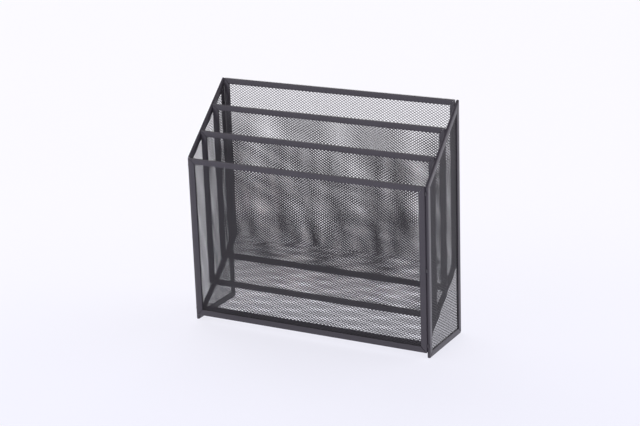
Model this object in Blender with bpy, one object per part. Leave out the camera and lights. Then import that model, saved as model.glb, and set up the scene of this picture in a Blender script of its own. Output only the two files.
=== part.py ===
"""Desk magazine holder of black steel mesh: three upright pockets that step up towards the back.

Six framed panels stand together: two trapezoid sides, a front, two dividers, and a back whose
lower part slopes forward as the floor of all the pockets. Each panel is a sheet of diamond mesh
with folded steel strips over its edges, mitred at the corners. The front stands a little before
the sides, the other panels stand between them, and small welds hold all. Units are metres, +Z is
up, -Y is the front, and the origin is on the desk under the middle of the holder.
"""

import math

import bmesh
import bpy
from mathutils import Matrix, Vector

MM = 0.001

# Overall size
WIDTH = 360.0 * MM
DEPTH = 103.0 * MM
BACK_HEIGHT = 325.0 * MM
FRONT_HEIGHT = 235.0 * MM
FRONT_FOOT_GAP = 7.5 * MM  # the front panel's lower edge above the desk

# Folded edge strip, a channel that closes over the rim of a mesh sheet
STRIP_FACE = 8.2 * MM
UPRIGHT_FACE = 6.8 * MM  # of the upright strips at the back, which are narrower
STRIP_THICKNESS = 4.0 * MM
STRIP_WALL = 1.2 * MM
FOLD_RADIUS = 1.5 * MM
FOLD_STEPS = 3

# Mesh sheet, drawn as a net with wide diamonds
SHEET_THICKNESS = 1.0 * MM
STRAND_WIDTH = 8.0 * MM
NET_COLUMNS = 5
NET_ROWS = 5
FLOOR_NET_ROWS = 3
SIDE_NET_COLUMNS = 2
SIDE_NET_ROWS = 9

# Sloping floor
FLOOR_SLOPE = math.radians(40.9)
FLOOR_FRONT_HEIGHT = 12.5 * MM  # middle of the floor's front edge above the desk

# Fits
PANEL_GAP = 1.2 * MM  # between a side and the panels that it holds
FRONT_STEP = 3.0 * MM  # how far the front panel stands before the sides
FRONT_OVERLAP = 0.4 * MM  # of the front panel's ends past the sides' inner faces
FIT_GAP = 0.3 * MM

# Welds in the gap between a side and a panel, and in the corner beside the front panel
WELD_HEIGHT = 5.0 * MM
WELD_SIDES = 12
WELD_EDGE_DISTANCE = 10.0 * MM
BEAD_WIDTH = 1.8 * MM

STEEL_BLACK = (0.045, 0.044, 0.048, 1.0)
WELD_BLACK = (0.035, 0.034, 0.037, 1.0)

# What follows from the driving sizes
HALF_WIDTH = WIDTH / 2
HALF_STRIP = STRIP_THICKNESS / 2
POCKET_DEPTH = (DEPTH - 4 * STRIP_THICKNESS) / 3
SIDE_CENTRE = HALF_WIDTH - HALF_STRIP
PANEL_HALF_WIDTH = HALF_WIDTH - STRIP_THICKNESS - PANEL_GAP
FRONT_HALF_WIDTH = HALF_WIDTH - STRIP_THICKNESS + FRONT_OVERLAP
SIDE_FRONT_Y = -DEPTH / 2 + FRONT_STEP
SIDE_DEPTH = DEPTH - FRONT_STEP
SHEET_INSET = STRIP_WALL + FIT_GAP
FRONT_CENTRE = -DEPTH / 2 + HALF_STRIP
BACK_CENTRE = DEPTH / 2 - HALF_STRIP
FLOOR_FRONT_Y = FRONT_CENTRE + HALF_STRIP + FIT_GAP + HALF_STRIP * math.sin(FLOOR_SLOPE)
FLOOR_RUN = BACK_CENTRE - FLOOR_FRONT_Y
FLOOR_LENGTH = FLOOR_RUN / math.cos(FLOOR_SLOPE)
BEND_HEIGHT = FLOOR_FRONT_HEIGHT + FLOOR_RUN * math.tan(FLOOR_SLOPE)
HALF_BEND = (math.pi / 2 - FLOOR_SLOPE) / 2
BEND_BUTT = SHEET_THICKNESS / 2 * math.tan(HALF_BEND) + FIT_GAP / 2


def side_top_height(y):
    """Height of the sides' sloping top edge at depth y."""
    return FRONT_HEIGHT + (BACK_HEIGHT - FRONT_HEIGHT) * (y - SIDE_FRONT_Y) / SIDE_DEPTH


def floor_top_height(y):
    """Height of the upper face of the floor's edge strips at depth y."""
    middle = FLOOR_FRONT_HEIGHT + (y - FLOOR_FRONT_Y) * math.tan(FLOOR_SLOPE)
    return middle + HALF_STRIP / math.cos(FLOOR_SLOPE)


def clear_scene():
    for obj in list(bpy.data.objects):
        bpy.data.objects.remove(obj)


def painted_steel(name, colour):
    material = bpy.data.materials.new(name)
    material.use_nodes = True
    shader = material.node_tree.nodes["Principled BSDF"]
    shader.inputs["Base Color"].default_value = colour
    shader.inputs["Roughness"].default_value = 0.45
    shader.inputs["Metallic"].default_value = 0.0
    material.diffuse_color = colour
    return material


def panel_frame(name, place, x_axis, y_axis):
    """An empty at a panel's mid-plane, with the panel's own X and Y in its plane."""
    empty = bpy.data.objects.new(name, None)
    bpy.context.scene.collection.objects.link(empty)
    x_axis, y_axis = Vector(x_axis), Vector(y_axis)
    turn = Matrix((x_axis, y_axis, x_axis.cross(y_axis))).transposed()
    empty.matrix_world = Matrix.Translation(place) @ turn.to_4x4()
    return empty


def add_piece(name, bm, material, frame):
    """Makes the bmesh a named object in its panel's frame."""
    bmesh.ops.recalc_face_normals(bm, faces=bm.faces)
    mesh = bpy.data.meshes.new(name)
    bm.to_mesh(mesh)
    bm.free()
    mesh.materials.append(material)
    piece = bpy.data.objects.new(name, mesh)
    bpy.context.scene.collection.objects.link(piece)
    piece.parent = frame
    return piece


def strip_profile(face):
    """The strip's section as (inward from the rim, across the panel) points, with round folds."""
    points = [(face, HALF_STRIP)]
    for centre_side in (1, -1):
        centre = Vector((FOLD_RADIUS, centre_side * (HALF_STRIP - FOLD_RADIUS)))
        for step in range(FOLD_STEPS + 1):
            turn = math.pi / 2 * step / FOLD_STEPS
            if centre_side > 0:
                offset = Vector((-math.sin(turn), math.cos(turn)))
            else:
                offset = Vector((-math.cos(turn), -math.sin(turn)))
            points.append(tuple(centre + FOLD_RADIUS * offset))
    lip = HALF_STRIP - STRIP_WALL
    points += [(face, -HALF_STRIP), (face, -lip)]
    points += [(STRIP_WALL, -lip), (STRIP_WALL, lip), (face, lip)]
    return points


def strip_ring(face, corner, along, inward, across, mitre_angle=math.pi / 2):
    """The strip's section at one station. The mitre angle is the one between rim and cut."""
    cot = 1 / math.tan(mitre_angle)
    cut_back = 0.0
    if mitre_angle < math.pi / 2:
        cut_back = FIT_GAP / 2 / math.sin(mitre_angle)
    ring = []
    for rim_distance, offset in strip_profile(face):
        shift = along * (rim_distance * cot + cut_back)
        ring.append(corner + inward * rim_distance + across * offset + shift)
    return ring


def add_strip(name, rings, material, frame):
    """A closed length of strip through its section rings."""
    bm = bmesh.new()
    loops = [[bm.verts.new(point) for point in ring] for ring in rings]
    bm.faces.new(loops[0])
    bm.faces.new(loops[-1])
    for first, second in zip(loops, loops[1:]):
        for i in range(len(first)):
            j = (i + 1) % len(first)
            bm.faces.new((first[i], first[j], second[j], second[i]))
    return add_piece(name, bm, material, frame)


def inset_corners(corners, distances):
    """The polygon with each edge moved inwards by its distance."""
    lines = []
    for i, distance in enumerate(distances):
        along = (corners[(i + 1) % len(corners)] - corners[i]).normalized()
        inward = Vector((-along.y, along.x))
        lines.append((corners[i] + inward * distance, along))
    moved = []
    for i, (point, along) in enumerate(lines):
        before_point, before_along = lines[i - 1]
        gap = point - before_point
        reach = gap.cross(along) / before_along.cross(along)
        moved.append(before_point + before_along * reach)
    return moved


def add_edge_strips(names, corners, faces, material, frame):
    """One mitred strip along each named edge of a flat panel, anticlockwise from the bottom."""
    inner = inset_corners(corners, faces)
    normal = Vector((0, 0, 1))
    for i, name in enumerate(names):
        j = (i + 1) % len(corners)
        start, end = corners[i].to_3d(), corners[j].to_3d()
        along = (end - start).normalized()
        inward = normal.cross(along)
        first_angle = along.angle(inner[i].to_3d() - start)
        last_angle = along.angle(end - inner[j].to_3d())
        first = strip_ring(faces[i], start, along, inward, normal, first_angle)
        last = strip_ring(faces[i], end, -along, inward, normal, last_angle)
        add_strip(name, (first, last), material, frame)


def inside_quad(corners, a, b):
    """The point at shares a and b of a four-cornered outline's width and height."""
    low = corners[0].lerp(corners[1], a)
    high = corners[3].lerp(corners[2], a)
    return low.lerp(high, b)


def add_mesh_sheet(name, outline, window, columns, rows, material, frame):
    """A net of diamonds over the window, with a plain rim out to the sheet's outline."""
    bm = bmesh.new()
    bmesh.ops.create_grid(bm, x_segments=columns + 2, y_segments=rows + 2, size=1)
    inner = set()
    for vert in bm.verts:
        i = round((vert.co.x + 1) / 2 * (columns + 2))
        j = round((vert.co.y + 1) / 2 * (rows + 2))
        a = min(max((i - 1) / columns, 0), 1)
        b = min(max((j - 1) / rows, 0), 1)
        in_window = 0 < i < columns + 2 and 0 < j < rows + 2
        vert.co = inside_quad(window if in_window else outline, a, b).to_3d()
        if in_window:
            inner.add(vert)
    cells = [face for face in bm.faces if inner.issuperset(face.verts)]
    shared = [edge for edge in bm.edges if all(face in cells for face in edge.link_faces)]
    centres = bmesh.ops.poke(bm, faces=cells)["verts"]
    bmesh.ops.dissolve_edges(bm, edges=shared)
    diamonds = {face for centre in centres for face in centre.link_faces}
    half_strand = STRAND_WIDTH / 2
    faces = list(diamonds)
    bmesh.ops.inset_individual(bm, faces=faces, thickness=half_strand, use_even_offset=True)
    bmesh.ops.delete(bm, geom=faces, context="FACES")
    piece = add_piece(name, bm, material, frame)
    gauge = piece.modifiers.new("sheet gauge", "SOLIDIFY")
    gauge.thickness = SHEET_THICKNESS
    gauge.offset = 0.0
    return piece


def add_flat_panel(name, frame, corners, faces, columns, rows, edges, steel):
    """A mesh sheet held all round by four mitred strips."""
    sheet_name = f"{name}_mesh"
    outline = inset_corners(corners, [SHEET_INSET] * 4)
    window = inset_corners(corners, faces)
    add_mesh_sheet(sheet_name, outline, window, columns, rows, steel, frame)
    add_edge_strips([f"{name}_{edge}_rail" for edge in edges], corners, faces, steel, frame)


def rectangle(low, high, half=PANEL_HALF_WIDTH):
    """Corners of an upright panel between two heights, anticlockwise from the lower left."""
    return [Vector(c) for c in ((-half, low), (half, low), (half, high), (-half, high))]


def build_sides(steel):
    corners = [
        Vector((SIDE_FRONT_Y, 0)),
        Vector((DEPTH / 2, 0)),
        Vector((DEPTH / 2, BACK_HEIGHT)),
        Vector((SIDE_FRONT_Y, FRONT_HEIGHT)),
    ]
    for name, side in (("left_side", -1), ("right_side", 1)):
        frame = panel_frame(name, (side * SIDE_CENTRE, 0, 0), (0, 1, 0), (0, 0, 1))
        edges = ("bottom", "back", "top", "front")
        faces = [STRIP_FACE, UPRIGHT_FACE, STRIP_FACE, STRIP_FACE]
        columns, rows = SIDE_NET_COLUMNS, SIDE_NET_ROWS
        add_flat_panel(name, frame, corners, faces, columns, rows, edges, steel)


def upright_frame(name, y):
    return panel_frame(name, (0, y, 0), (1, 0, 0), (0, 0, 1))


def divider_centre(index):
    """Depth of a divider's mid-plane, counted from the front."""
    return FRONT_CENTRE + (index + 1) * (POCKET_DEPTH + STRIP_THICKNESS)


def divider_heights(index):
    """Heights of a divider's lower and upper edge, on the floor and at the sides' slope."""
    back_y = divider_centre(index) + HALF_STRIP
    return floor_top_height(back_y) + FIT_GAP, side_top_height(back_y)


def build_front_and_dividers(steel):
    edges = ("bottom", "right", "top", "left")
    front = rectangle(FRONT_FOOT_GAP, FRONT_HEIGHT, FRONT_HALF_WIDTH)
    panels = [("front_panel", FRONT_CENTRE, front)]
    for index, name in enumerate(("front_divider", "rear_divider")):
        panels.append((name, divider_centre(index), rectangle(*divider_heights(index))))
    for name, y, corners in panels:
        frame = upright_frame(name, y)
        faces = [STRIP_FACE] * 4
        add_flat_panel(name, frame, corners, faces, NET_COLUMNS, NET_ROWS, edges, steel)


def build_back_and_floor(steel):
    """The back panel, whose two side strips bend forward with the sheet to carry the floor."""
    back = upright_frame("back_panel", BACK_CENTRE)
    up_slope = Vector((0, math.cos(FLOOR_SLOPE), math.sin(FLOOR_SLOPE)))
    floor = panel_frame("floor", (0, FLOOR_FRONT_Y, FLOOR_FRONT_HEIGHT), (1, 0, 0), up_slope)
    mitre = math.atan2(UPRIGHT_FACE, STRIP_FACE)
    faces = [STRIP_FACE, UPRIGHT_FACE] * 2
    upright = rectangle(BEND_HEIGHT, BACK_HEIGHT)
    from_the_top = upright[2:] + upright[:2]
    add_edge_strips(("back_panel_top_rail",), from_the_top, faces, steel, back)
    sloping = rectangle(0, FLOOR_LENGTH)
    add_edge_strips(("floor_front_rail",), sloping, faces, steel, floor)

    insets = [BEND_BUTT] + [SHEET_INSET] * 3
    outline = inset_corners(upright, insets)
    window = inset_corners(upright, faces)
    add_mesh_sheet("back_panel_mesh", outline, window, NET_COLUMNS, NET_ROWS, steel, back)
    outline = inset_corners(sloping, [SHEET_INSET, SHEET_INSET, BEND_BUTT, SHEET_INSET])
    window = inset_corners(sloping, faces)
    add_mesh_sheet("floor_mesh", outline, window, NET_COLUMNS, FLOOR_NET_ROWS, steel, floor)

    # In the back's frame +X is right, +Y is up and +Z is towards the front.
    down_slope = Vector((0, -math.sin(FLOOR_SLOPE), math.cos(FLOOR_SLOPE)))
    floor_across = Vector((0, math.cos(FLOOR_SLOPE), math.sin(FLOOR_SLOPE)))
    bend_across = Vector((0, math.sin(HALF_BEND), math.cos(HALF_BEND))) / math.cos(HALF_BEND)
    for side_name, side in (("left", -1), ("right", 1)):
        inward = Vector((-side, 0, 0))
        top = Vector((side * PANEL_HALF_WIDTH, BACK_HEIGHT, 0))
        bend = Vector((side * PANEL_HALF_WIDTH, BEND_HEIGHT, 0))
        foot = bend + down_slope * FLOOR_LENGTH
        down = Vector((0, -1, 0))
        rings = (
            strip_ring(UPRIGHT_FACE, top, down, inward, Vector((0, 0, 1)), mitre),
            strip_ring(UPRIGHT_FACE, bend, down, inward, bend_across),
            strip_ring(UPRIGHT_FACE, foot, -down_slope, inward, floor_across, mitre),
        )
        add_strip(f"back_panel_{side_name}_rail", rings, steel, back)


def add_weld(name, place, length, height, tilt, steel, frame):
    """A flat oval pad of weld metal that fills most of the gap beside a panel."""
    bm = bmesh.new()
    thickness = PANEL_GAP - 2 * FIT_GAP
    bmesh.ops.create_cone(
        bm,
        segments=WELD_SIDES,
        radius1=0.5,
        radius2=0.5,
        depth=thickness,
        cap_ends=True,
    )
    bmesh.ops.rotate(bm, verts=bm.verts, matrix=Matrix.Rotation(math.pi / 2, 3, "Y"))
    bmesh.ops.scale(bm, verts=bm.verts, vec=(1, length, height))
    bmesh.ops.rotate(bm, verts=bm.verts, matrix=Matrix.Rotation(tilt, 3, "X"))
    bmesh.ops.translate(bm, verts=bm.verts, vec=place)
    return add_piece(name, bm, steel, frame)


def add_corner_weld(name, side, height, steel, frame):
    """A short upright bead in the corner between the front panel's end and a side's front edge."""
    bm = bmesh.new()
    radius = BEAD_WIDTH / 2
    bmesh.ops.create_cone(
        bm,
        segments=WELD_SIDES,
        radius1=radius,
        radius2=radius,
        depth=WELD_HEIGHT,
        cap_ends=True,
    )
    x = FRONT_HALF_WIDTH + FIT_GAP + radius
    y = SIDE_FRONT_Y - FIT_GAP - radius
    bmesh.ops.translate(bm, verts=bm.verts, vec=(side * x, y, height))
    return add_piece(name, bm, steel, frame)


def build_welds(steel):
    frame = panel_frame("welds", (0, 0, 0), (1, 0, 0), (0, 1, 0))
    x = PANEL_HALF_WIDTH + PANEL_GAP / 2
    end = WELD_EDGE_DISTANCE
    corner_heights = {
        "front_panel_weld_low": FRONT_FOOT_GAP + end,
        "front_panel_weld_middle": (FRONT_FOOT_GAP + FRONT_HEIGHT) / 2,
        "front_panel_weld_high": FRONT_HEIGHT - end,
    }
    spots = {
        "back_panel_weld_low": (BACK_CENTRE, BEND_HEIGHT + end),
        "back_panel_weld_high": (BACK_CENTRE, BACK_HEIGHT - end),
    }
    for index, name in enumerate(("front_divider", "rear_divider")):
        low, high = divider_heights(index)
        y = divider_centre(index)
        spots[f"{name}_weld_low"] = (y, low + end)
        spots[f"{name}_weld_high"] = (y, high - end)
    for side_name, side in (("left", -1), ("right", 1)):
        for name, height in corner_heights.items():
            add_corner_weld(f"{name}_{side_name}", side, height, steel, frame)
        for name, (y, z) in spots.items():
            place = (side * x, y, z)
            add_weld(f"{name}_{side_name}", place, STRIP_THICKNESS, WELD_HEIGHT, 0, steel, frame)
        up = end * Vector((math.cos(FLOOR_SLOPE), math.sin(FLOOR_SLOPE)))
        place = (side * x, FLOOR_FRONT_Y + up.x, FLOOR_FRONT_HEIGHT + up.y)
        tilt = FLOOR_SLOPE
        name = f"floor_weld_{side_name}"
        add_weld(name, place, WELD_HEIGHT, STRIP_THICKNESS, tilt, steel, frame)


def main():
    clear_scene()
    steel = painted_steel("black_coated_steel", STEEL_BLACK)
    weld_steel = painted_steel("black_coated_weld", WELD_BLACK)
    build_sides(steel)
    build_front_and_dividers(steel)
    build_back_and_floor(steel)
    build_welds(weld_steel)
    bpy.context.view_layer.update()


main()
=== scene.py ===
"""Looks of the desk magazine holder: fine expanded mesh, folded edge strips, welds and coating.

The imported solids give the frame. Each mesh sheet, edge strip and weld is rebuilt here in finer
shape and takes the place of its solid. Lengths are metres, +Z is up and -Y is the front.
"""

from __future__ import annotations

import logging
import math
from dataclasses import dataclass, field, replace
from enum import Enum
from typing import Any, Sequence

import bmesh
import bpy
from mathutils import Matrix, Vector

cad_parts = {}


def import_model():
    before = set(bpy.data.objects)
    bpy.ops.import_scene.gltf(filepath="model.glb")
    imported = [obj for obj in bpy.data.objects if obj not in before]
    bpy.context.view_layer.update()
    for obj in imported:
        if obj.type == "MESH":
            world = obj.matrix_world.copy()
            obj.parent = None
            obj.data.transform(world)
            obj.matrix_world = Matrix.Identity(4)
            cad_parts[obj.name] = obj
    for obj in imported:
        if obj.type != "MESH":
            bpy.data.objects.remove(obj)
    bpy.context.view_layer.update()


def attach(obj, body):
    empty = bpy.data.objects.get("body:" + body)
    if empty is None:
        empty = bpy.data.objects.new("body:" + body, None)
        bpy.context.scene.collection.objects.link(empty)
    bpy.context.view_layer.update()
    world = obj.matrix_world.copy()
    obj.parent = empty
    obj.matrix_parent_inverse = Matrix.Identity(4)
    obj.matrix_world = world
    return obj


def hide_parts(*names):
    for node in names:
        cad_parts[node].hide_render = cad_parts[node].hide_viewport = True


LOG = logging.getLogger("magazine_holder")
MM = 0.001
BODY = "root"
CREASE = math.radians(30)
CORNER = 0.4 * MM
SAME_PLACE = 1e-7
RIGHT, BACK, UP = Vector((1, 0, 0)), Vector((0, 1, 0)), Vector((0, 0, 1))
Colour = tuple[float, float, float, float]


class Side(Enum):
    """The two sides of the holder as seen from the front."""

    LEFT = -1
    RIGHT = 1

    @property
    def label(self) -> str:
        """The side's word in piece names."""
        return self.name.lower()


class Slot(Enum):
    """The record's material slots."""

    RAIL = "rail"
    MESH = "mesh"
    WELD = "weld"


@dataclass(frozen=True)
class HolderSizes:
    """Sizes that the panels share, as in the solids."""

    width: float = 360.0 * MM
    depth: float = 103.0 * MM
    back_height: float = 325.0 * MM
    front_height: float = 235.0 * MM
    front_foot_gap: float = 7.5 * MM
    strip_face: float = 8.2 * MM
    upright_face: float = 6.8 * MM
    strip_thickness: float = 4.0 * MM
    panel_gap: float = 1.2 * MM
    divider_gap: float = 0.4 * MM
    front_step: float = 3.0 * MM
    front_overlap: float = 0.4 * MM
    fit_gap: float = 0.3 * MM
    floor_slope: float = math.radians(40.9)
    floor_front_height: float = 12.5 * MM

    @property
    def half_strip(self) -> float:
        """Half of a strip's thickness."""
        return self.strip_thickness / 2

    @property
    def panel_half_width(self) -> float:
        """Half of the width of a panel between the sides."""
        return self.width / 2 - self.strip_thickness - self.panel_gap

    @property
    def divider_half_width(self) -> float:
        """Half of the width of a divider, whose ends lie close against the sides."""
        return self.width / 2 - self.strip_thickness - self.divider_gap

    @property
    def front_half_width(self) -> float:
        """Half of the width of the front panel, which stands before the sides."""
        return self.width / 2 - self.strip_thickness + self.front_overlap

    @property
    def side_front(self) -> float:
        """Depth of the sides' front edges."""
        return self.front_step - self.depth / 2

    @property
    def side_centre(self) -> float:
        """Distance of a side's mid-plane from the middle."""
        return self.width / 2 - self.half_strip

    @property
    def front_centre(self) -> float:
        """Depth of the front panel's mid-plane."""
        return -self.depth / 2 + self.half_strip

    @property
    def back_centre(self) -> float:
        """Depth of the back panel's mid-plane."""
        return self.depth / 2 - self.half_strip

    @property
    def floor_front(self) -> float:
        """Depth of the floor's front edge at its mid-plane."""
        reach = self.half_strip * math.sin(self.floor_slope)
        return self.front_centre + self.half_strip + self.fit_gap + reach

    @property
    def floor_length(self) -> float:
        """Length of the floor down its slope, from the bend."""
        return (self.back_centre - self.floor_front) / math.cos(self.floor_slope)

    @property
    def bend_height(self) -> float:
        """Height at which the back turns forward into the floor."""
        run = self.back_centre - self.floor_front
        return self.floor_front_height + run * math.tan(self.floor_slope)

    @property
    def bend_angle(self) -> float:
        """Turn of the sheet from the back into the floor."""
        return math.pi / 2 - self.floor_slope

    def side_top(self, y: float) -> float:
        """Height of the sides' sloping edge at depth y."""
        share = (y - self.side_front) / (self.depth - self.front_step)
        return self.front_height + (self.back_height - self.front_height) * share

    def floor_top(self, y: float) -> float:
        """Height of the upper face of the floor's strips at depth y."""
        middle = self.floor_front_height + (y - self.floor_front) * math.tan(self.floor_slope)
        return middle + self.half_strip / math.cos(self.floor_slope)

    def divider_centre(self, index: int) -> float:
        """Depth of a divider's mid-plane, counted from the front."""
        pocket = (self.depth - 4 * self.strip_thickness) / 3
        return self.front_centre + (index + 1) * (pocket + self.strip_thickness)

    def divider_heights(self, index: int) -> tuple[float, float]:
        """Where a divider starts and ends in height.

        Args:
            index: Which divider, counted from the front.

        Returns:
            Heights of its lower and upper edge.
        """
        y = self.divider_centre(index)
        low = self.floor_top(y + self.half_strip) + self.fit_gap
        return low, self.side_top(y + self.half_strip)


class Link:
    """A shader socket that takes part in Python expressions and adds Math nodes as it does."""

    def __init__(self, tree: "ShaderTree", socket: bpy.types.NodeSocket) -> None:
        """Keeps the socket and the tree that it is in.

        Args:
            tree: The shader tree that new nodes go to.
            socket: The output socket that this link stands for.
        """
        self.tree = tree
        self.socket = socket

    def _math(self, operation: str, first: Any, second: Any) -> "Link":
        """A Math node on two values.

        Args:
            operation: The Math node's operation.
            first: The first value or link.
            second: The second value or link.

        Returns:
            The node's result.
        """
        return self.tree.add("ShaderNodeMath", {"operation": operation}, {0: first, 1: second})

    def __add__(self, other: Any) -> "Link":
        """This plus the other."""
        return self._math("ADD", self, other)

    __radd__ = __add__

    def __sub__(self, other: Any) -> "Link":
        """This less the other."""
        return self._math("SUBTRACT", self, other)

    def __rsub__(self, other: Any) -> "Link":
        """The other less this."""
        return self._math("SUBTRACT", other, self)

    def __mul__(self, other: Any) -> "Link":
        """This times the other."""
        return self._math("MULTIPLY", self, other)

    __rmul__ = __mul__

    def clamp(self, low: float, high: float) -> "Link":
        """This kept between two numbers."""
        return self._math("MINIMUM", self._math("MAXIMUM", self, low), high)


class ShaderTree:
    """The node tree of a material or a world, with one way to add any node."""

    def __init__(self, owner: bpy.types.Material | bpy.types.World) -> None:
        """Turns the owner's nodes on.

        Args:
            owner: The material or world.
        """
        owner.use_nodes = True
        self.owner = owner
        self.tree = owner.node_tree

    @classmethod
    def of_material(cls, name: str) -> "ShaderTree":
        """The tree of a new material."""
        return cls(bpy.data.materials.new(name))

    @property
    def shader(self) -> bpy.types.Node:
        """The material's Principled shader."""
        return self.tree.nodes["Principled BSDF"]

    def add(
        self,
        kind: str,
        settings: dict[str, Any] | None = None,
        inputs: dict[Any, Any] | None = None,
        output: Any = 0,
    ) -> Link:
        """Adds a node.

        Args:
            kind: The node's type.
            settings: Attributes that are set first, such as a Math node's operation.
            inputs: Values or links by socket name or index.
            output: Name or index of the output that is returned.

        Returns:
            The output as a link.
        """
        node = self.tree.nodes.new(kind)
        for key, value in (settings or {}).items():
            setattr(node, key, value)
        for key, value in (inputs or {}).items():
            self.feed(node.inputs[key], value)
        return Link(self, node.outputs[output])

    def feed(self, socket: bpy.types.NodeSocket, value: Any) -> None:
        """Links or sets a socket.

        Args:
            socket: The input socket.
            value: A link, or a plain value.
        """
        if isinstance(value, Link):
            self.tree.links.new(value.socket, socket)
        else:
            socket.default_value = value

    def surface(self, **inputs: Any) -> None:
        """Feeds the Principled shader's sockets, named with _ for a space."""
        for key, value in inputs.items():
            self.feed(self.shader.inputs[key.replace("_", " ")], value)

    def noise(self, scale: float, detail: float = 2.0, roughness: float = 0.5) -> Link:
        """Noise over the piece's own Object coordinates.

        Args:
            scale: Waves per metre.
            detail: Octaves of finer noise.
            roughness: Share that each octave keeps.

        Returns:
            The noise, about 0 to 1.
        """
        place = self.add("ShaderNodeTexCoord", output="Object")
        values = {"Vector": place, "Scale": scale, "Detail": detail, "Roughness": roughness}
        return self.add("ShaderNodeTexNoise", None, values, "Fac")

    def ramp(self, value: Link, low: float, high: float) -> Link:
        """A smooth rise from 0 to 1.

        Args:
            value: The value that it follows.
            low: The value up to which it is 0.
            high: The value from which it is 1.

        Returns:
            The rise.
        """
        values = {"Value": value, "From Min": low, "From Max": high}
        return self.add("ShaderNodeMapRange", {"interpolation_type": "SMOOTHSTEP"}, values)

    def mix(self, share: Any, first: Any, second: Any) -> Link:
        """A mix of two colours.

        Args:
            share: Share of the second colour.
            first: The first colour.
            second: The second colour.

        Returns:
            The mixed colour.
        """
        values = {"Factor": share, 6: first, 7: second}
        return self.add("ShaderNodeMix", {"data_type": "RGBA"}, values, 2)


@dataclass(frozen=True)
class PowderCoat:
    """Satin black powder coat with a faint mottle and a fine orange peel."""

    name: str
    dark: Colour = (0.050, 0.044, 0.056, 1.0)
    light: Colour = (0.070, 0.062, 0.078, 1.0)
    roughness: float = 0.22
    cloud_pitch: float = 38 * MM
    cloud_share: float = 0.65
    cloud_dulling: float = 0.08
    grain_pitch: float = 1.6 * MM
    grain_share: float = 0.35
    grain_dulling: float = 0.04
    peel_pitch: float = 0.9 * MM
    peel_height: float = 0.012 * MM
    peel_strength: float = 0.6

    def material(self) -> bpy.types.Material:
        """Makes the coat.

        Returns:
            A procedural material.
        """
        tree = ShaderTree.of_material(self.name)
        cloud = tree.noise(1 / self.cloud_pitch, detail=3.0)
        grain = tree.noise(1 / self.grain_pitch)
        shade = (cloud * self.cloud_share + grain * self.grain_share).clamp(0.0, 1.0)
        dulling = cloud * self.cloud_dulling + grain * self.grain_dulling
        smoothest = self.roughness - (self.cloud_dulling + self.grain_dulling) / 2
        peel = tree.noise(1 / self.peel_pitch, roughness=0.6)
        bumps = {"Strength": self.peel_strength, "Distance": self.peel_height, "Height": peel}
        tree.surface(
            Base_Color=tree.mix(shade, self.dark, self.light),
            Roughness=smoothest + dulling,
            Normal=tree.add("ShaderNodeBump", None, bumps, "Normal"),
        )
        return tree.owner


@dataclass(frozen=True)
class PanelPlane:
    """A panel's own plane: X and Y lie in it and Z stands off it."""

    origin: Vector
    x_axis: Vector
    y_axis: Vector

    def matrix(self) -> Matrix:
        """The plane's place in the holder."""
        turn = Matrix((self.x_axis, self.y_axis, self.x_axis.cross(self.y_axis))).transposed()
        return Matrix.Translation(self.origin) @ turn.to_4x4()


def finish_piece(
    bm: bmesh.types.BMesh,
    name: str,
    place: Matrix,
    material: bpy.types.Material,
    node: str,
    crease: float | None = None,
) -> None:
    """Makes a bmesh a piece that takes a solid's place.

    Args:
        bm: The piece's shape in its panel's plane.
        name: The piece's name.
        place: The panel's place in the holder.
        material: The piece's finish.
        node: The solid that the piece stands for.
        crease: Angle past which edges stay sharp where the rest shades smoothly, or None for
            flat faces.
    """
    bmesh.ops.transform(bm, matrix=place, verts=bm.verts)
    bmesh.ops.recalc_face_normals(bm, faces=bm.faces)
    mesh = bpy.data.meshes.new(name)
    bm.to_mesh(mesh)
    bm.free()
    mesh.materials.append(material)
    if crease is not None:
        mesh.polygons.foreach_set("use_smooth", [True] * len(mesh.polygons))
        mesh.set_sharp_from_angle(angle=crease)
    piece = bpy.data.objects.new(name, mesh)
    bpy.context.scene.collection.objects.link(piece)
    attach(piece, BODY)
    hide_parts(node)
    LOG.info("%s: %d faces, for %s", name, len(mesh.polygons), node)


def cut_away(
    bm: bmesh.types.BMesh, point: Vector, outward: Vector
) -> list[bmesh.types.BMEdge]:
    """Cuts off what lies past a plane.

    Args:
        bm: The shape that is cut.
        point: A point of the plane.
        outward: The direction that the plane faces, towards what goes.

    Returns:
        The edges along the cut.
    """
    cut = bmesh.ops.bisect_plane(
        bm,
        geom=bm.verts[:] + bm.edges[:] + bm.faces[:],
        dist=SAME_PLACE,
        plane_co=point,
        plane_no=outward,
        clear_outer=True,
    )["geom_cut"]
    return [item for item in cut if isinstance(item, bmesh.types.BMEdge)]


def rectangle(half: float, low: float, high: float) -> list[Vector]:
    """Corners of a rectangle about the middle of X, anticlockwise from the lower left."""
    return [Vector(c) for c in ((-half, low), (half, low), (half, high), (-half, high))]


def inset_outline(corners: Sequence[Vector], distances: Sequence[float]) -> list[Vector]:
    """Moves each edge of an outline inwards.

    Args:
        corners: The outline's corners, anticlockwise.
        distances: How far each edge moves, in the order of the edges.

    Returns:
        The corners of the smaller outline.
    """
    lines = []
    for i, distance in enumerate(distances):
        along = (corners[(i + 1) % len(corners)] - corners[i]).normalized()
        lines.append((corners[i] + Vector((-along.y, along.x)) * distance, along))
    moved = []
    for i, (point, along) in enumerate(lines):
        before, before_along = lines[i - 1]
        reach = (point - before).cross(along) / before_along.cross(along)
        moved.append(before + before_along * reach)
    return moved


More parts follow.
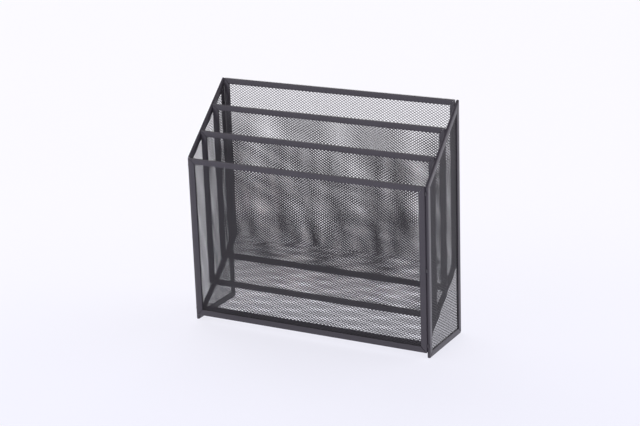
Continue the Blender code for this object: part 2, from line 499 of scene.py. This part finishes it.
@dataclass(frozen=True)
class ExpandedMesh:
    """Fine expanded steel: diamonds that lie on their long side, between thin flat strands."""

    long_way: float = 5.53 * MM
    short_way: float = 3.62 * MM
    strand: float = 0.57 * MM
    thickness: float = 0.45 * MM
    smallest_cell: float = 0.3

    def sheet(
        self, outline: Sequence[Vector], phase: Vector, turn: float = 0.0
    ) -> bmesh.types.BMesh:
        """A flat sheet of mesh.

        Args:
            outline: The sheet's corners in its plane, anticlockwise.
            phase: A point of the plane that a crossing of strands lies on.
            turn: How far the rows of diamonds are out of square with the plane.

        Returns:
            The sheet's shape, with its middle at height 0.
        """
        bm = bmesh.new()
        wide = max(abs(corner.x - phase.x) for corner in outline)
        high = max(abs(corner.y - phase.y) for corner in outline)
        reach = wide / self.long_way + high / self.short_way
        slip = abs(math.sin(turn)) * (high / self.long_way + wide / self.short_way)
        count = 2 * (int(reach + slip) + 2)
        bmesh.ops.create_grid(bm, x_segments=count, y_segments=count, size=count / 2)
        half_long, half_short = self.long_way / 2, self.short_way / 2
        lean = Matrix(((half_long, -half_long, 0), (half_short, half_short, 0), (0, 0, 1)))
        bmesh.ops.transform(bm, matrix=lean.to_4x4(), verts=bm.verts)
        bmesh.ops.rotate(bm, verts=bm.verts, matrix=Matrix.Rotation(turn, 3, "Z"))
        bmesh.ops.translate(bm, verts=bm.verts, vec=phase.to_3d())
        for i, corner in enumerate(outline):
            along = outline[(i + 1) % len(outline)] - corner
            cut_away(bm, corner.to_3d(), Vector((along.y, -along.x, 0)).normalized())
        least = self.smallest_cell * half_long * self.short_way
        cells = [face for face in bm.faces if face.calc_area() > least]
        bmesh.ops.inset_individual(
            bm, faces=cells, thickness=self.strand / 2, use_even_offset=True
        )
        bmesh.ops.delete(bm, geom=cells, context="FACES")
        bmesh.ops.solidify(bm, geom=bm.faces[:], thickness=self.thickness)
        bmesh.ops.translate(bm, verts=bm.verts, vec=(0, 0, self.thickness / 2))
        return bm


@dataclass(frozen=True)
class FoldedStrip:
    """The folded steel strip that closes over a sheet's rim."""

    face: float = 8.2 * MM
    thickness: float = 4.0 * MM
    lip_thickness: float = 3.2 * MM
    fold_radius: float = 0.9 * MM
    fold_steps: int = 6
    lip_radius: float = 0.25 * MM
    lip_steps: int = 2
    slot: float = 0.9 * MM
    slot_depth: float = 4.0 * MM
    seam: float = 0.20 * MM
    edge_break: float = 0.30 * MM
    corner_steps: int = 4

    @property
    def spare(self) -> float:
        """Extra length at an end, which the mitre cuts off."""
        return 3 * self.face

    def section(self) -> list[tuple[float, float]]:
        """The strip's section, a channel with round folds at the rim.

        Returns:
            Its points, by how far they lie inward from the rim and across the panel.
        """
        half, half_lip = self.thickness / 2, self.lip_thickness / 2
        lip, fold = self.lip_radius, self.fold_radius
        corners = (
            (self.face - lip, half_lip - lip, lip, self.lip_steps),
            (fold, half - fold, fold, self.fold_steps),
            (fold, fold - half, fold, self.fold_steps),
            (self.face - lip, lip - half_lip, lip, self.lip_steps),
        )
        points = []
        for quarter, (inward, across, radius, steps) in enumerate(corners):
            for step in range(steps + 1):
                turn = math.pi / 2 * (quarter + step / steps)
                points.append(
                    (inward + radius * math.cos(turn), across + radius * math.sin(turn))
                )
        bottom = self.face - self.slot_depth
        half_slot = self.slot / 2
        points += [(self.face, -half_slot), (bottom, -half_slot)]
        points += [(bottom, half_slot), (self.face, half_slot)]
        return points

    def start(
        self, bm: bmesh.types.BMesh, corner: Vector, inward: Vector, across: Vector
    ) -> bmesh.types.BMFace:
        """The section as a face, ready to be drawn out.

        Args:
            bm: The bmesh that it goes to.
            corner: The rim point that the section starts from.
            inward: The direction from the rim into the panel.
            across: The direction through the panel.

        Returns:
            The section's face.
        """
        verts = [bm.verts.new(corner + inward * s + across * t) for s, t in self.section()]
        return bm.faces.new(verts)

    @staticmethod
    def draw_out(
        bm: bmesh.types.BMesh, face: bmesh.types.BMFace, way: Vector
    ) -> bmesh.types.BMFace:
        """Draws a section out along a straight way.

        Args:
            bm: The strip's bmesh.
            face: The section's face.
            way: The length and direction.

        Returns:
            The face at the far end.
        """
        grown = bmesh.ops.extrude_face_region(bm, geom=[face])["geom"]
        verts = [item for item in grown if isinstance(item, bmesh.types.BMVert)]
        bmesh.ops.translate(bm, verts=verts, vec=way)
        return next(item for item in grown if isinstance(item, bmesh.types.BMFace))

    def mitre(
        self, bm: bmesh.types.BMesh, corner: Vector, cut: Vector, across: Vector, along: Vector
    ) -> None:
        """Cuts an end off along a mitre and breaks the sharp edge of the cut.

        Args:
            bm: The strip's bmesh.
            corner: The panel's outer corner.
            cut: The direction of the mitre line in the panel's plane.
            across: The direction through the panel.
            along: The direction from the corner along the strip.
        """
        normal = cut.cross(across).normalized()
        if normal.dot(along) > 0:
            normal.negate()
        rim = cut_away(bm, corner - normal * self.seam, normal)
        bmesh.ops.edgeloop_fill(bm, edges=rim)
        bmesh.ops.bevel(
            bm,
            geom=rim,
            offset=self.edge_break,
            offset_type="OFFSET",
            affect="EDGES",
            segments=1,
            profile=0.5,
            material=-1,
        )

    def round_off(
        self, bm: bmesh.types.BMesh, corners: Sequence[Vector], index: int, radius: float
    ) -> None:
        """Rounds a strip's end off where it comes to an outer corner of its panel.

        Args:
            bm: The strip's bmesh.
            corners: The panel's corners in its plane, anticlockwise.
            index: Which corner.
            radius: Radius of the corner.
        """
        corner = corners[index]
        first = (corner - corners[index - 1]).normalized()
        second = (corners[(index + 1) % len(corners)] - corner).normalized()
        outward = [Vector((way.y, -way.x)) for way in (first, second)]
        half_turn = outward[0].angle(outward[1]) / 2
        bisector = (outward[0] + outward[1]).normalized()
        centre = corner - bisector * radius / math.cos(half_turn)
        for step in range(1, self.corner_steps + 1):
            normal = outward[0].slerp(outward[1], step / (self.corner_steps + 1)).to_3d()
            rim = cut_away(bm, centre.to_3d() + normal * radius, normal)
            if rim:
                bmesh.ops.edgeloop_fill(bm, edges=rim)

    def straight(
        self, corners: Sequence[Vector], edge: int, faces: Sequence[float], radii: Sequence[float]
    ) -> bmesh.types.BMesh:
        """A mitred strip along one edge of a flat panel.

        Args:
            corners: The panel's corners in its plane, anticlockwise.
            edge: Which edge, counted from the first corner.
            faces: Width of the strip on each edge.
            radii: Radius of each corner.

        Returns:
            The strip's shape in the panel's plane.
        """
        strip = replace(self, face=faces[edge])
        inner = inset_outline(corners, faces)
        ends = (edge, (edge + 1) % len(corners))
        start, end = (corners[index].to_3d() for index in ends)
        first_cut, last_cut = ((inner[index] - corners[index]).to_3d() for index in ends)
        along = (end - start).normalized()
        spare = along * strip.spare
        bm = bmesh.new()
        section = strip.start(bm, start - spare, UP.cross(along), UP)
        strip.draw_out(bm, section, end - start + 2 * spare)
        strip.mitre(bm, start, first_cut, UP, along)
        strip.mitre(bm, end, last_cut, UP, -along)
        for index in ends:
            strip.round_off(bm, corners, index, radii[index])
        return bm


@dataclass(frozen=True)
class SheetBend:
    """The bend between the back and the floor."""

    angle: float
    radius: float = 6.0 * MM
    steps: int = 8

    @property
    def half_arc(self) -> float:
        """Length of sheet from the bend's middle to where it runs straight."""
        return self.radius * self.angle / 2

    @property
    def tangent(self) -> float:
        """Distance of that place from the corner that the bend rounds off."""
        return self.radius * math.tan(self.angle / 2)

    def curl(self, bm: bmesh.types.BMesh, way: int) -> None:
        """Curls the end of a flat sheet towards +Z, about the bend's own centre.

        Args:
            bm: A sheet whose straight part starts at Y 0 and runs towards +Y or -Y.
            way: 1 where the straight part runs towards +Y, else -1.
        """
        for vert in bm.verts:
            past = -way * vert.co.y
            if past <= 0:
                continue
            turn = past / self.radius
            arm = self.radius - vert.co.z
            vert.co.y = -way * arm * math.sin(turn)
            vert.co.z = self.radius - arm * math.cos(turn)


@dataclass(frozen=True)
class WeldBead:
    """A short weld bead with the ripples of a tack."""

    ripples: int = 3
    end_shrink: float = 0.12
    sphere_sides: int = 14
    sphere_rings: int = 9

    def shape(self, size: Vector, tilt: float) -> bmesh.types.BMesh:
        """A row of flattened beads along the longer way.

        Args:
            size: The bead's size across the gap, in depth and in height, before its tilt.
            tilt: Turn about X.

        Returns:
            The bead's shape about its own middle.
        """
        bm = bmesh.new()
        step = size.z / (self.ripples + 1)
        for index in range(self.ripples):
            from_middle = index - (self.ripples - 1) / 2
            verts = bmesh.ops.create_uvsphere(
                bm, u_segments=self.sphere_sides, v_segments=self.sphere_rings, radius=0.5
            )["verts"]
            depth = size.y * (1.0 - self.end_shrink * abs(from_middle))
            bmesh.ops.scale(bm, verts=verts, vec=(size.x, depth, 2 * step))
            bmesh.ops.translate(bm, verts=verts, vec=(0, 0, from_middle * step))
        bmesh.ops.rotate(bm, verts=bm.verts, matrix=Matrix.Rotation(tilt, 3, "X"))
        return bm


@dataclass
class MeshPanel:
    """A flat framed panel: one mesh sheet and a strip on each edge."""

    name: str
    plane: PanelPlane
    corners: list[Vector]
    edges: tuple[str, ...]
    faces: tuple[float, ...]
    mesh: ExpandedMesh
    strip: FoldedStrip
    turn: float = 0.0
    radii: tuple[float, ...] = (CORNER,) * 4
    shift: Vector = Vector((0, 0))
    sheet_inset: float = 5.2 * MM

    def build(self, mesh_coat: bpy.types.Material, rail_coat: bpy.types.Material) -> None:
        """Builds and dresses the panel.

        Args:
            mesh_coat: Finish of the sheet.
            rail_coat: Finish of the strips.
        """
        place = self.plane.matrix()
        outline = inset_outline(self.corners, [self.sheet_inset] * len(self.corners))
        middle = sum(self.corners, Vector((0, 0))) / len(self.corners)
        node = f"{self.name}_mesh"
        bm = self.mesh.sheet(outline, middle + self.shift, self.turn)
        finish_piece(bm, f"{node}_diamonds", place, mesh_coat, node)
        for index, edge in enumerate(self.edges):
            node = f"{self.name}_{edge}_rail"
            bm = self.strip.straight(self.corners, index, self.faces, self.radii)
            finish_piece(bm, f"{node}_strip", place, rail_coat, node, CREASE)


@dataclass
class BackWithFloor:
    """The back panel, whose sheet and side strips bend forward into the sloping floor."""

    sizes: HolderSizes
    mesh: ExpandedMesh
    strip: FoldedStrip
    turn: float = 0.0
    bend: SheetBend = field(init=False)
    sheet_inset: float = 5.2 * MM

    def __post_init__(self) -> None:
        """Takes the bend's angle from the floor's slope."""
        self.bend = SheetBend(angle=self.sizes.bend_angle)

    def back_plane(self) -> PanelPlane:
        """Where the upright part stands.

        Returns:
            Its plane, with Y 0 where the sheet starts to bend.
        """
        height = self.sizes.bend_height + self.bend.tangent
        return PanelPlane(Vector((0, self.sizes.back_centre, height)), RIGHT, UP)

    def floor_plane(self) -> PanelPlane:
        """Where the sloping part lies.

        Returns:
            Its plane, with Y 0 where the sheet starts to bend.
        """
        slope = self.sizes.floor_slope
        up = Vector((0, math.cos(slope), math.sin(slope)))
        front = Vector((0, self.sizes.floor_front, self.sizes.floor_front_height))
        origin = front + up * (self.sizes.floor_length - self.bend.tangent)
        return PanelPlane(origin, RIGHT, up)

    def build(self, mesh_coat: bpy.types.Material, rail_coat: bpy.types.Material) -> None:
        """Builds and dresses the back and the floor.

        Args:
            mesh_coat: Finish of the sheets.
            rail_coat: Finish of the strips.
        """
        half = self.sizes.panel_half_width
        inner = half - self.sheet_inset
        back, floor = self.back_plane().matrix(), self.floor_plane().matrix()
        top = self.sizes.back_height - self.sizes.bend_height - self.bend.tangent
        foot = self.bend.tangent - self.sizes.floor_length
        arc = self.bend.half_arc

        high, low = top - self.sheet_inset, foot + self.sheet_inset
        bm = self.mesh.sheet(rectangle(inner, -arc, high), Vector((0, -arc)), self.turn)
        self.bend.curl(bm, 1)
        node = "back_panel_mesh"
        finish_piece(bm, f"{node}_diamonds", back, mesh_coat, node)
        bm = self.mesh.sheet(rectangle(inner, low, arc), Vector((0, arc)), self.turn)
        self.bend.curl(bm, -1)
        node = "floor_mesh"
        finish_piece(bm, f"{node}_diamonds", floor, mesh_coat, node)

        faces, radii = (self.sizes.strip_face, self.sizes.upright_face) * 2, (CORNER,) * 4
        node = "back_panel_top_rail"
        bm = self.strip.straight(rectangle(half, 0, top), 2, faces, radii)
        finish_piece(bm, f"{node}_strip", back, rail_coat, node, CREASE)
        node = "floor_front_rail"
        bm = self.strip.straight(rectangle(half, foot, 0), 0, faces, radii)
        finish_piece(bm, f"{node}_strip", floor, rail_coat, node, CREASE)
        for side in Side:
            node = f"back_panel_{side.label}_rail"
            bm = self.bent_strip(side, top, -foot)
            finish_piece(bm, f"{node}_strip", back, rail_coat, node, CREASE)

    def bent_strip(self, side: Side, top: float, length: float) -> bmesh.types.BMesh:
        """A side strip that runs down the back, round the bend and on along the floor.

        Args:
            side: Which side.
            top: Height of the panel's top above the bend.
            length: Length along the floor from the bend.

        Returns:
            The strip's shape in the back's plane.
        """
        strip = replace(self.strip, face=self.sizes.upright_face)
        down, inward = -BACK, RIGHT * -side.value
        corner = Vector((side.value * self.sizes.panel_half_width, top, 0))
        centre = UP * self.bend.radius
        bm = bmesh.new()
        section = strip.start(bm, corner - down * strip.spare, inward, UP)
        section = strip.draw_out(bm, section, down * (top + strip.spare))
        turned = bmesh.ops.spin(
            bm,
            geom=[section],
            cent=centre,
            axis=-RIGHT,
            angle=self.bend.angle,
            steps=self.bend.steps,
        )["geom_last"]
        section = next(item for item in turned if isinstance(item, bmesh.types.BMFace))
        turn = Matrix.Rotation(self.bend.angle, 3, -RIGHT)
        slope = turn @ down
        strip.draw_out(bm, section, slope * (length + strip.spare))
        knee = centre + turn @ (RIGHT * corner.x - centre)
        foot = knee + slope * length
        width, other = inward * strip.face, self.sizes.strip_face
        strip.mitre(bm, corner, width + down * other, UP, down)
        strip.mitre(bm, foot, width - slope * other, turn @ UP, -slope)
        return bm


@dataclass
class Welds:
    """The welds that hold the panels to the sides."""

    sizes: HolderSizes
    bead: WeldBead = WeldBead()
    height: float = 5.0 * MM
    edge_distance: float = 10.0 * MM
    corner_width: float = 2.5 * MM
    corner_reach: float = 1.2 * MM
    bite: float = 0.5 * MM
    setback: float = 0.2 * MM

    def corner_heights(self) -> dict[str, float]:
        """Where the welds beside the front panel are.

        Returns:
            Height of each weld, by name.
        """
        s, end = self.sizes, self.edge_distance
        return {
            "front_panel_weld_low": s.front_foot_gap + end,
            "front_panel_weld_middle": (s.front_foot_gap + s.front_height) / 2,
            "front_panel_weld_high": s.front_height - end,
        }

    def spots(self) -> dict[str, tuple[float, float, float]]:
        """Where the welds between a side and the panels' ends are.

        Returns:
            Depth, height and tilt of each weld, by name.
        """
        s, end = self.sizes, self.edge_distance
        spots = {
            "back_panel_weld_low": (s.back_centre, s.bend_height + end, 0.0),
            "back_panel_weld_high": (s.back_centre, s.back_height - end, 0.0),
        }
        for index, name in enumerate(("front_divider", "rear_divider")):
            low, high = s.divider_heights(index)
            y = s.divider_centre(index)
            spots[f"{name}_weld_low"] = (y, low + end, 0.0)
            spots[f"{name}_weld_high"] = (y, high - end, 0.0)
        y = s.floor_front + end * math.cos(s.floor_slope)
        z = s.floor_front_height + end * math.sin(s.floor_slope)
        spots["floor_weld"] = (y, z, s.floor_slope - math.pi / 2)
        return spots

    def build(self, coat: bpy.types.Material) -> None:
        """Builds and dresses the welds.

        Args:
            coat: Finish of the welds.
        """
        s = self.sizes
        size = Vector((s.panel_gap + self.bite, s.strip_thickness - self.setback, self.height))
        corner_size = Vector((self.corner_width, self.corner_width, self.height))
        x = s.panel_half_width + s.panel_gap / 2
        corner_x = s.front_half_width + self.corner_reach
        corner_y = s.side_front - self.corner_reach
        for side in Side:
            for name, z in self.corner_heights().items():
                place = Matrix.Translation((side.value * corner_x, corner_y, z))
                bm = self.bead.shape(corner_size, 0.0)
                self._finish(bm, f"{name}_{side.label}", place, coat)
            for name, (y, z, tilt) in self.spots().items():
                place = Matrix.Translation((side.value * x, y, z))
                bm = self.bead.shape(size, tilt)
                self._finish(bm, f"{name}_{side.label}", place, coat)

    @staticmethod
    def _finish(
        bm: bmesh.types.BMesh, node: str, place: Matrix, coat: bpy.types.Material
    ) -> None:
        """Makes a bead's shape the piece that stands for a weld's solid."""
        finish_piece(bm, f"{node}_bead", place, coat, node, math.pi)


@dataclass(frozen=True)
class ViewPoint:
    """The camera that the photograph was taken with, by its heading and its target."""

    target: Vector = Vector((-5.69 * MM, 3.5 * MM, 161.51 * MM))
    distance: float = 2368.1 * MM
    heading: float = math.radians(-28.923)
    dip: float = math.radians(17.759)
    roll: float = math.radians(-1.992)
    focal_pixels: float = 1750.5
    image_width: int = 640
    sensor: float = 36.0
    reach: float = 50.0

    def build(self) -> None:
        """Makes the scene's camera."""
        ahead = Vector(
            (
                math.sin(self.heading) * math.cos(self.dip),
                math.cos(self.heading) * math.cos(self.dip),
                -math.sin(self.dip),
            )
        )
        level = Vector((math.cos(self.heading), -math.sin(self.heading), 0))
        upright = level.cross(ahead)
        right = level * math.cos(self.roll) + upright * math.sin(self.roll)
        up = upright * math.cos(self.roll) - level * math.sin(self.roll)
        turn = Matrix((right, up, -ahead)).transposed().to_4x4()
        data = bpy.data.cameras.new("photo_camera")
        data.sensor_width = self.sensor
        data.sensor_fit = "HORIZONTAL"
        data.lens = self.focal_pixels / self.image_width * self.sensor
        data.clip_end = self.reach
        camera = bpy.data.objects.new("photo_camera", data)
        camera.matrix_world = Matrix.Translation(self.target - ahead * self.distance) @ turn
        bpy.context.scene.collection.objects.link(camera)
        bpy.context.scene.camera = camera


@dataclass(frozen=True)
class SoftLamp:
    """A wide soft lamp, far from the holder."""

    way: Vector
    strength: float
    spread: float
    distance: float = 3.0

    def build(self) -> None:
        """Makes the lamp."""
        data = bpy.data.lights.new("soft_lamp", "SUN")
        data.energy = self.strength
        data.angle = self.spread
        lamp = bpy.data.objects.new("soft_lamp", data)
        lamp.rotation_euler = (-self.way).to_track_quat("-Z", "Y").to_euler()
        lamp.location = self.way * self.distance
        bpy.context.scene.collection.objects.link(lamp)


@dataclass(frozen=True)
class Studio:
    """Pale floor, white surround that darkens overhead, and four wide soft lamps."""

    floor_size: float = 14.0
    floor_drop: float = 0.2 * MM
    # floor_near and floor_far paint a falloff of light: darker near the front, paler towards the
    # back.
    floor_near: Colour = (0.890, 0.888, 0.985, 1.0)
    floor_far: Colour = (0.940, 0.930, 0.985, 1.0)
    floor_range: tuple[float, float] = (-0.5, 0.7)
    floor_skew: float = 0.5
    floor_roughness: float = 0.8
    floor_sheen: float = 0.1
    floor_glow: float = 0.75
    glow_strength: float = 1.08
    horizon: Colour = (0.975, 0.967, 1.0, 1.0)
    overhead: Colour = (0.16, 0.16, 0.17, 1.0)
    sky_range: tuple[float, float] = (0.30, 0.80)
    lamps: tuple[SoftLamp, ...] = (
        SoftLamp(Vector((-0.93, 0.25, 0.27)), 1.2, math.radians(55)),
        SoftLamp(Vector((-0.47, 0.70, 0.54)), 0.9, math.radians(50)),
        SoftLamp(Vector((0.60, 0.45, 0.66)), 0.7, math.radians(50)),
        SoftLamp(Vector((-0.55, -0.75, 0.36)), 0.35, math.radians(50)),
    )

    def build(self) -> None:
        """Makes the floor, the world and the lamps."""
        self._floor()
        self._surround()
        for lamp in self.lamps:
            lamp.build()

    def _floor(self) -> None:
        """A wide plain floor under the holder, with painted light falloff: paler towards the back
        and the left, where the lamps stand.
        """
        bm = bmesh.new()
        bmesh.ops.create_grid(bm, x_segments=1, y_segments=1, size=self.floor_size / 2)
        bmesh.ops.translate(bm, verts=bm.verts, vec=UP * -self.floor_drop)
        mesh = bpy.data.meshes.new("studio_floor")
        bm.to_mesh(mesh)
        bm.free()
        floor = bpy.data.objects.new("studio_floor", mesh)
        bpy.context.scene.collection.objects.link(floor)
        tree = ShaderTree.of_material("pale_floor")
        place = tree.add("ShaderNodeTexCoord", output="Object")
        depth = tree.add("ShaderNodeSeparateXYZ", None, {0: place}, "Y")
        across = tree.add("ShaderNodeSeparateXYZ", None, {0: place}, "X")
        # Painted light falloff: the colour grows paler towards the back and the left, where more
        # light falls.
        share = tree.ramp(depth - across * self.floor_skew, *self.floor_range)
        colour = tree.mix(share, self.floor_near, self.floor_far)
        tree.surface(
            Base_Color=colour,
            Roughness=self.floor_roughness,
            Specular_IOR_Level=self.floor_sheen,
        )
        values = {"Color": colour, "Strength": self.glow_strength}
        glow = tree.add("ShaderNodeEmission", None, values)
        seen = tree.add("ShaderNodeLightPath", output="Is Camera Ray")
        mirrored = tree.add("ShaderNodeLightPath", output="Is Glossy Ray")
        lit = Link(tree, tree.shader.outputs[0])
        values = {0: (seen + mirrored).clamp(0.0, 1.0) * self.floor_glow, 1: lit, 2: glow}
        surface = tree.add("ShaderNodeMixShader", None, values)
        tree.feed(tree.tree.nodes["Material Output"].inputs["Surface"], surface)
        mesh.materials.append(tree.owner)

    def _surround(self) -> None:
        """A white surround that darkens overhead."""
        world = bpy.data.worlds.new("studio_surround")
        tree = ShaderTree(world)
        way = tree.add("ShaderNodeTexCoord", output="Generated")
        height = tree.add("ShaderNodeSeparateXYZ", None, {0: way}, "Z")
        colour = tree.mix(tree.ramp(height, *self.sky_range), self.horizon, self.overhead)
        background = tree.tree.nodes["Background"]
        tree.feed(background.inputs["Color"], colour)
        background.inputs["Strength"].default_value = 1.0
        bpy.context.scene.world = world


@dataclass
class MagazineHolder:
    """The whole holder."""

    sizes: HolderSizes = HolderSizes()
    mesh: ExpandedMesh = ExpandedMesh()
    side_mesh: ExpandedMesh = ExpandedMesh(
        long_way=5.95 * MM, short_way=3.90 * MM, strand=0.62 * MM
    )
    left_thickness: float = 0.52 * MM
    right_thickness: float = 0.78 * MM
    side_turn: float = math.radians(1.5)
    front_turn: float = math.radians(0.6)
    front_divider_turn: float = math.radians(1.35)
    rear_divider_turn: float = math.radians(-0.4)
    back_turn: float = math.radians(-1.65)
    strip: FoldedStrip = FoldedStrip()
    foot_radius: float = 5.0 * MM
    peak_radius: float = 0.3 * MM

    def side_panel(self, side: Side) -> MeshPanel:
        """One of the two trapezoid sides.

        Args:
            side: Which side.

        Returns:
            The panel.
        """
        s = self.sizes
        corners = [
            Vector((s.side_front, 0)),
            Vector((s.depth / 2, 0)),
            Vector((s.depth / 2, s.back_height)),
            Vector((s.side_front, s.front_height)),
        ]
        origin = Vector((side.value * s.side_centre, 0, 0))
        plane = PanelPlane(origin, BACK, UP)
        edges = ("bottom", "back", "top", "front")
        faces = (s.strip_face, s.upright_face, s.strip_face, s.strip_face)
        name, turn = f"{side.label}_side", self.side_turn
        radii = (CORNER, self.foot_radius, self.peak_radius, CORNER)
        thickness = self.left_thickness if side is Side.LEFT else self.right_thickness
        mesh, strip = replace(self.side_mesh, thickness=thickness), self.strip
        return MeshPanel(name, plane, corners, edges, faces, mesh, strip, turn, radii)

    def upright_panel(
        self, name: str, y: float, heights: tuple[float, float], half: float, turn: float
    ) -> MeshPanel:
        """A rectangular panel that faces the front.

        Args:
            name: The panel's name in the solids.
            y: Depth of its mid-plane.
            heights: Heights of its lower and upper edge.
            half: Half of its width.
            turn: How far its mesh is out of square.

        Returns:
            The panel.
        """
        corners = rectangle(half, *heights)
        plane = PanelPlane(BACK * y, RIGHT, UP)
        edges = ("bottom", "right", "top", "left")
        faces = (self.sizes.strip_face,) * 4
        return MeshPanel(name, plane, corners, edges, faces, self.mesh, self.strip, turn)

    def build(self) -> None:
        """Builds and dresses every panel and weld."""
        s = self.sizes
        rail_coat = PowderCoat("rail_powder_coat").material()
        mesh_coat = PowderCoat(
            "mesh_powder_coat",
            dark=(0.040, 0.037, 0.044, 1.0),
            light=(0.058, 0.054, 0.063, 1.0),
            peel_height=0.004 * MM,
        ).material()
        weld_coat = PowderCoat("weld_powder_coat", roughness=0.5).material()
        panels = [self.side_panel(side) for side in Side]
        heights = (s.front_foot_gap, s.front_height)
        half, turn = s.front_half_width, self.front_turn
        panels.append(self.upright_panel("front_panel", s.front_centre, heights, half, turn))
        turns = {"front_divider": self.front_divider_turn, "rear_divider": self.rear_divider_turn}
        quarter_cell = Vector((self.mesh.long_way, self.mesh.short_way)) / 4
        for index, (name, turn) in enumerate(turns.items()):
            y, heights = s.divider_centre(index), s.divider_heights(index)
            panel = self.upright_panel(name, y, heights, s.divider_half_width, turn)
            panels.append(replace(panel, shift=quarter_cell))
        for panel in panels:
            panel.build(mesh_coat, rail_coat)
        BackWithFloor(s, self.mesh, self.strip, self.back_turn).build(mesh_coat, rail_coat)
        Welds(s).build(weld_coat)


def main() -> None:
    """Builds the holder, the studio and the camera."""
    logging.basicConfig(level=logging.INFO, format="%(name)s: %(message)s")
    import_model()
    scene = bpy.context.scene
    scene.view_settings.view_transform = "Standard"
    ViewPoint().build()
    Studio().build()
    MagazineHolder().build()


if __name__ == "__main__":
    main()
